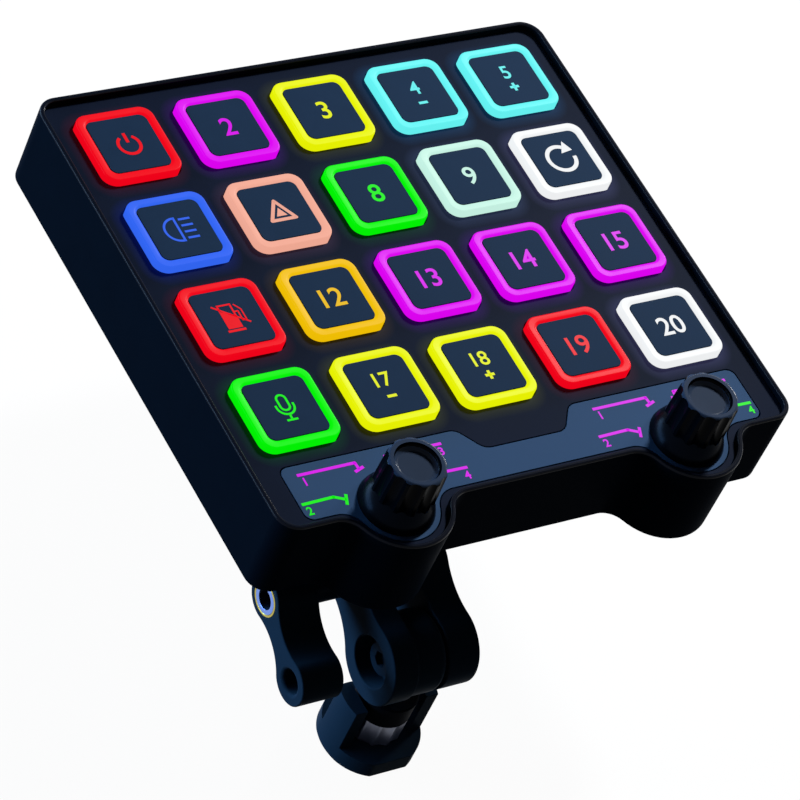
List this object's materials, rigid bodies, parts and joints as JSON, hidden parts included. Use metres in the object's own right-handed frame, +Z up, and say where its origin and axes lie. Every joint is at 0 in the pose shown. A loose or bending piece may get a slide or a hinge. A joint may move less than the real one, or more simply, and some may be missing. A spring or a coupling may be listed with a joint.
{
  "type": "button box",
  "caption": "Racing simulator button box: shallow case with a grid of glowing push keys and tilt-and-turn knobs, on a tilting arm and a forked swivel base.",
  "frame": {"origin": "centre of the swivel base's flat foot, on the swivel axis", "axes": "+Z up along the swivel axis, towards the face of the case; +X along the key rows, to the right; +Y up the key columns, away from the knobs"},
  "size_m": [0.1586, 0.1703, 0.0989],
  "materials": {
    "mount_black": "satin black coat on machined aluminium",
    "steel": "plain",
    "black_steel": "black oxide",
    "brass": "turned",
    "case_black": "fine moulded texture",
    "face_black": "fine moulded texture",
    "panel_slate": "printed film",
    "board_green": "solder mask",
    "switch_black": "moulded",
    "led_white": "moulded",
    "encoder_grey": "pressed",
    "knob_black": "satin moulded",
    "collar_black": "polished",
    "cap_red": "translucent, lit from below",
    "cap_magenta": "translucent, lit from below",
    "cap_yellow": "translucent, lit from below",
    "cap_cyan": "translucent, lit from below",
    "cap_blue": "translucent, lit from below",
    "cap_salmon": "translucent, lit from below",
    "cap_green": "translucent, lit from below",
    "cap_mint": "translucent, lit from below",
    "cap_white": "translucent, lit from below",
    "cap_amber": "translucent, lit from below"
  },
  "bodies": {
    "mount_base": {"base_yoke": "mount_black"},
    "lock_nut": {"lock_nut": "mount_black"},
    "swivel": {"eye_hub": "mount_black"},
    "arm": {"left_arm": "mount_black", "centre_arm": "mount_black", "right_arm": "mount_black", "lower_pivot_bolt": "black_steel", "lower_pivot_nut": "black_steel", "upper_pivot_shaft": "black_steel", "arm_bushes": "brass"},
    "case": {"housing": "case_black", "back_cover": "case_black", "faceplate": "face_black", "label_panel": "panel_slate", "circuit_board": "board_green", "key_switches": "switch_black", "backlight_leds": "led_white", "cover_screws": "black_steel", "back_bracket": "mount_black", "bracket_screws": "black_steel", "usb_socket": "steel", "encoder_bodies": "encoder_grey", "knob_collars": "collar_black"},
    "tilt_ring_left": {"tilt_ring_left": "encoder_grey"},
    "rocker_left": {"rocker_left": "encoder_grey"},
    "plunger_left": {"plunger_left": "steel"},
    "knob_left": {"knob_shaft_left": "steel", "knob_left": "knob_black"},
    "tilt_ring_right": {"tilt_ring_right": "encoder_grey"},
    "rocker_right": {"rocker_right": "encoder_grey"},
    "plunger_right": {"plunger_right": "steel"},
    "knob_right": {"knob_shaft_right": "steel", "knob_right": "knob_black"},
    "button_1_1": {"button_1_1": "cap_red"},
    "button_1_2": {"button_1_2": "cap_magenta"},
    "button_1_3": {"button_1_3": "cap_yellow"},
    "button_1_4": {"button_1_4": "cap_cyan"},
    "button_1_5": {"button_1_5": "cap_cyan"},
    "button_2_1": {"button_2_1": "cap_blue"},
    "button_2_2": {"button_2_2": "cap_salmon"},
    "button_2_3": {"button_2_3": "cap_green"},
    "button_2_4": {"button_2_4": "cap_mint"},
    "button_2_5": {"button_2_5": "cap_white"},
    "button_3_1": {"button_3_1": "cap_red"},
    "button_3_2": {"button_3_2": "cap_amber"},
    "button_3_3": {"button_3_3": "cap_magenta"},
    "button_3_4": {"button_3_4": "cap_magenta"},
    "button_3_5": {"button_3_5": "cap_magenta"},
    "button_4_1": {"button_4_1": "cap_green"},
    "button_4_2": {"button_4_2": "cap_yellow"},
    "button_4_3": {"button_4_3": "cap_yellow"},
    "button_4_4": {"button_4_4": "cap_red"},
    "button_4_5": {"button_4_5": "cap_white"}
  },
  "joints": [
    {"name": "lock_nut_turn", "type": "hinge", "parent": "mount_base", "child": "lock_nut", "pos_m": [0, 0, 0.012], "axis": [0, 0, 1], "continuous": true},
    {"name": "base_swivel", "type": "hinge", "parent": "mount_base", "child": "swivel", "pos_m": [0, 0, 0.012], "axis": [0, 0, 1], "continuous": true},
    {"name": "lower_tilt", "type": "hinge", "parent": "swivel", "child": "arm", "pos_m": [0, 0, 0.0362], "axis": [1, 0, 0], "range_deg": [-40, 40]},
    {"name": "upper_tilt", "type": "hinge", "parent": "arm", "child": "case", "pos_m": [0, 0.0197, 0.0453], "axis": [1, 0, 0], "range_deg": [-60, 25]},
    {"name": "knob_left_tilt_a", "type": "hinge", "parent": "case", "child": "tilt_ring_left", "pos_m": [-0.013, 0.0154, 0.0796], "axis": [0.7071, 0.7071, 0], "range_deg": [-6, 6], "stiffness_Nm_per_rad": 0.35},
    {"name": "knob_left_tilt_b", "type": "hinge", "parent": "tilt_ring_left", "child": "rocker_left", "pos_m": [-0.013, 0.0154, 0.0796], "axis": [0.7071, -0.7071, 0], "range_deg": [-6, 6], "stiffness_Nm_per_rad": 0.35},
    {"name": "knob_left_push", "type": "slide", "parent": "rocker_left", "child": "plunger_left", "axis": [0, 0, -1], "range_m": [0, 0.0008], "stiffness_N_per_m": 2500, "springref_m": -0.0006},
    {"name": "knob_left_turn", "type": "hinge", "parent": "plunger_left", "child": "knob_left", "pos_m": [-0.013, 0.0154, 0.0796], "axis": [0, 0, 1], "continuous": true},
    {"name": "knob_right_tilt_a", "type": "hinge", "parent": "case", "child": "tilt_ring_right", "pos_m": [0.077, 0.0154, 0.0796], "axis": [0.7071, 0.7071, 0], "range_deg": [-6, 6], "stiffness_Nm_per_rad": 0.35},
    {"name": "knob_right_tilt_b", "type": "hinge", "parent": "tilt_ring_right", "child": "rocker_right", "pos_m": [0.077, 0.0154, 0.0796], "axis": [0.7071, -0.7071, 0], "range_deg": [-6, 6], "stiffness_Nm_per_rad": 0.35},
    {"name": "knob_right_push", "type": "slide", "parent": "rocker_right", "child": "plunger_right", "axis": [0, 0, -1], "range_m": [0, 0.0008], "stiffness_N_per_m": 2500, "springref_m": -0.0006},
    {"name": "knob_right_turn", "type": "hinge", "parent": "plunger_right", "child": "knob_right", "pos_m": [0.077, 0.0154, 0.0796], "axis": [0, 0, 1], "continuous": true},
    {"name": "button_1_1_press", "type": "slide", "parent": "case", "child": "button_1_1", "axis": [0, 0, -1], "range_m": [0, 0.0016], "stiffness_N_per_m": 500, "springref_m": -0.0012},
    {"name": "button_1_2_press", "type": "slide", "parent": "case", "child": "button_1_2", "axis": [0, 0, -1], "range_m": [0, 0.0016], "stiffness_N_per_m": 500, "springref_m": -0.0012},
    {"name": "button_1_3_press", "type": "slide", "parent": "case", "child": "button_1_3", "axis": [0, 0, -1], "range_m": [0, 0.0016], "stiffness_N_per_m": 500, "springref_m": -0.0012},
    {"name": "button_1_4_press", "type": "slide", "parent": "case", "child": "button_1_4", "axis": [0, 0, -1], "range_m": [0, 0.0016], "stiffness_N_per_m": 500, "springref_m": -0.0012},
    {"name": "button_1_5_press", "type": "slide", "parent": "case", "child": "button_1_5", "axis": [0, 0, -1], "range_m": [0, 0.0016], "stiffness_N_per_m": 500, "springref_m": -0.0012},
    {"name": "button_2_1_press", "type": "slide", "parent": "case", "child": "button_2_1", "axis": [0, 0, -1], "range_m": [0, 0.0016], "stiffness_N_per_m": 500, "springref_m": -0.0012},
    {"name": "button_2_2_press", "type": "slide", "parent": "case", "child": "button_2_2", "axis": [0, 0, -1], "range_m": [0, 0.0016], "stiffness_N_per_m": 500, "springref_m": -0.0012},
    {"name": "button_2_3_press", "type": "slide", "parent": "case", "child": "button_2_3", "axis": [0, 0, -1], "range_m": [0, 0.0016], "stiffness_N_per_m": 500, "springref_m": -0.0012},
    {"name": "button_2_4_press", "type": "slide", "parent": "case", "child": "button_2_4", "axis": [0, 0, -1], "range_m": [0, 0.0016], "stiffness_N_per_m": 500, "springref_m": -0.0012},
    {"name": "button_2_5_press", "type": "slide", "parent": "case", "child": "button_2_5", "axis": [0, 0, -1], "range_m": [0, 0.0016], "stiffness_N_per_m": 500, "springref_m": -0.0012},
    {"name": "button_3_1_press", "type": "slide", "parent": "case", "child": "button_3_1", "axis": [0, 0, -1], "range_m": [0, 0.0016], "stiffness_N_per_m": 500, "springref_m": -0.0012},
    {"name": "button_3_2_press", "type": "slide", "parent": "case", "child": "button_3_2", "axis": [0, 0, -1], "range_m": [0, 0.0016], "stiffness_N_per_m": 500, "springref_m": -0.0012},
    {"name": "button_3_3_press", "type": "slide", "parent": "case", "child": "button_3_3", "axis": [0, 0, -1], "range_m": [0, 0.0016], "stiffness_N_per_m": 500, "springref_m": -0.0012},
    {"name": "button_3_4_press", "type": "slide", "parent": "case", "child": "button_3_4", "axis": [0, 0, -1], "range_m": [0, 0.0016], "stiffness_N_per_m": 500, "springref_m": -0.0012},
    {"name": "button_3_5_press", "type": "slide", "parent": "case", "child": "button_3_5", "axis": [0, 0, -1], "range_m": [0, 0.0016], "stiffness_N_per_m": 500, "springref_m": -0.0012},
    {"name": "button_4_1_press", "type": "slide", "parent": "case", "child": "button_4_1", "axis": [0, 0, -1], "range_m": [0, 0.0016], "stiffness_N_per_m": 500, "springref_m": -0.0012},
    {"name": "button_4_2_press", "type": "slide", "parent": "case", "child": "button_4_2", "axis": [0, 0, -1], "range_m": [0, 0.0016], "stiffness_N_per_m": 500, "springref_m": -0.0012},
    {"name": "button_4_3_press", "type": "slide", "parent": "case", "child": "button_4_3", "axis": [0, 0, -1], "range_m": [0, 0.0016], "stiffness_N_per_m": 500, "springref_m": -0.0012},
    {"name": "button_4_4_press", "type": "slide", "parent": "case", "child": "button_4_4", "axis": [0, 0, -1], "range_m": [0, 0.0016], "stiffness_N_per_m": 500, "springref_m": -0.0012},
    {"name": "button_4_5_press", "type": "slide", "parent": "case", "child": "button_4_5", "axis": [0, 0, -1], "range_m": [0, 0.0016], "stiffness_N_per_m": 500, "springref_m": -0.0012}
  ]
}
